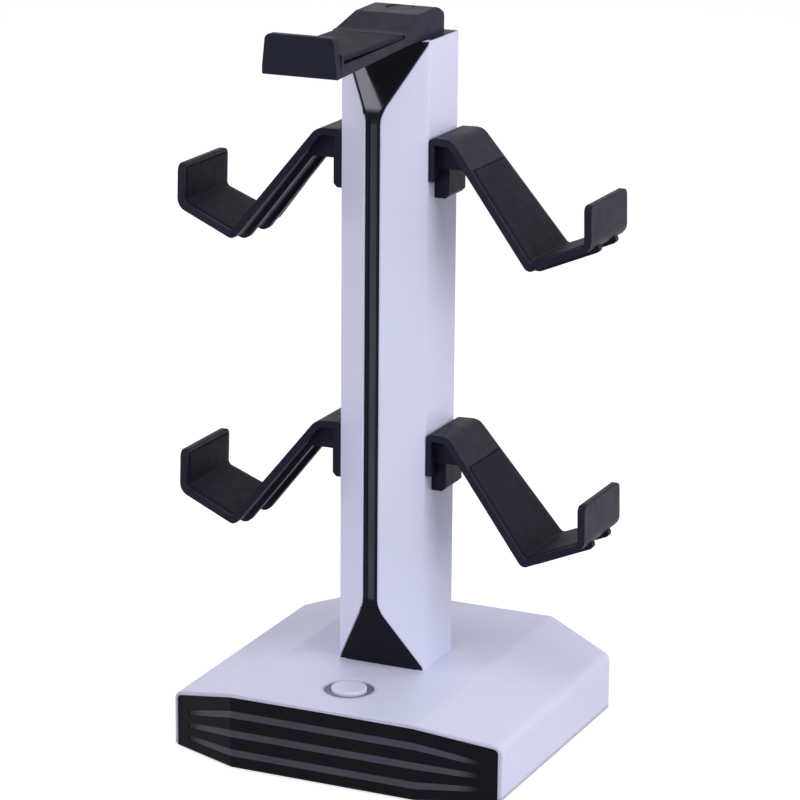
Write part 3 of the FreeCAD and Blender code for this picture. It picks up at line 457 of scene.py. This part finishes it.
def seen_directly(tree):
    """1 for rays that come from the camera, a mirror or glass."""
    path = tree.add("ShaderNodeLightPath").outputs
    mirrored = tree.math("MAXIMUM", path["Is Camera Ray"], path["Is Glossy Ray"])
    return tree.math("MAXIMUM", mirrored, path["Is Transmission Ray"])


def make_floor():
    size = 4.0
    mesh = bpy.data.meshes.new("floor")
    corners = [(-size, -size, 0), (size, -size, 0), (size, size, 0), (-size, size, 0)]
    mesh.from_pydata(corners, [], [(0, 1, 2, 3)])
    floor = bpy.data.objects.new("floor", mesh)
    scene.collection.objects.link(floor)
    material, tree = material_tree("floor")
    colour = tree.mix(tree.ramp(tree.noise(0.4)), FLOOR_DARK, FLOOR_PALE)
    matte = tree.add("ShaderNodeBsdfDiffuse", {"Color": colour})
    glow = tree.add("ShaderNodeEmission", {"Strength": tree.math("MULTIPLY", seen_directly(tree), FLOOR_GLOW)})
    both = tree.add("ShaderNodeAddShader", {0: matte.outputs["BSDF"], 1: glow.outputs["Emission"]})
    tree.links.new(both.outputs[0], tree.surface)
    mesh.materials.append(material)


def make_world():
    world = bpy.data.worlds.new("studio")
    scene.world = world
    tree = Tree(world, "ShaderNodeOutputWorld")
    soft = tree.add("ShaderNodeBackground", {"Color": (*SKY, 1), "Strength": SKY_STRENGTH}).outputs[0]
    white = tree.add("ShaderNodeBackground", {"Color": (*NEUTRAL, 1), "Strength": BACKDROP_STRENGTH}).outputs[0]
    both = tree.add("ShaderNodeMixShader", {0: seen_directly(tree), 1: soft, 2: white})
    tree.links.new(both.outputs[0], tree.surface)


make_floor()
make_world()


# Lamps: name, place, width and height, watts

LAMP_TARGET = Vector((0, 0, 0.16))
LAMPS = (
    ("key", (1.3, -0.45, 1.2), (0.9, 0.9), 11.2),
    ("side", (1.5, -0.2, 0.5), (1.0, 1.0), 6.4),
    ("fill", (-1.2, -1.0, 0.45), (1.0, 0.8), 7.8),
    ("top", (0.15, -0.7, 1.6), (0.8, 0.8), 4.8),
)
for name, place, size, power in LAMPS:
    data = bpy.data.lights.new(name, "AREA")
    data.shape = "RECTANGLE"
    data.size, data.size_y = size
    data.energy = power
    lamp = bpy.data.objects.new(name, data)
    scene.collection.objects.link(lamp)
    lamp.location = place
    lamp.rotation_euler = (LAMP_TARGET - Vector(place)).to_track_quat("-Z", "Y").to_euler()


# Camera, set to the photo's view

view_azimuth = math.radians(24.979)
view_elevation = math.radians(15.465)
view_distance = 1.42678
view_roll = math.radians(0.322)
view_target = Vector((0, -21.04, 160.64)) * MM
focal_pixels = 3502.16
image_pixels = 800
optical_centre = (367.29, 382.22)

outward = Vector((
    math.sin(view_azimuth) * math.cos(view_elevation),
    -math.cos(view_azimuth) * math.cos(view_elevation),
    math.sin(view_elevation),
))
camera_data = bpy.data.cameras.new("camera")
camera_data.sensor_width = 36.0
camera_data.lens = focal_pixels / image_pixels * camera_data.sensor_width
camera_data.shift_x = (image_pixels / 2 - optical_centre[0]) / image_pixels
camera_data.shift_y = (optical_centre[1] - image_pixels / 2) / image_pixels
camera_data.clip_end = 20.0
camera = bpy.data.objects.new("camera", camera_data)
scene.collection.objects.link(camera)
facing = (-outward).to_track_quat("-Z", "Y").to_matrix().to_4x4()
roll = Matrix.Rotation(view_roll, 4, "Z")
camera.matrix_world = Matrix.Translation(view_target + outward * view_distance) @ facing @ roll
scene.camera = camera
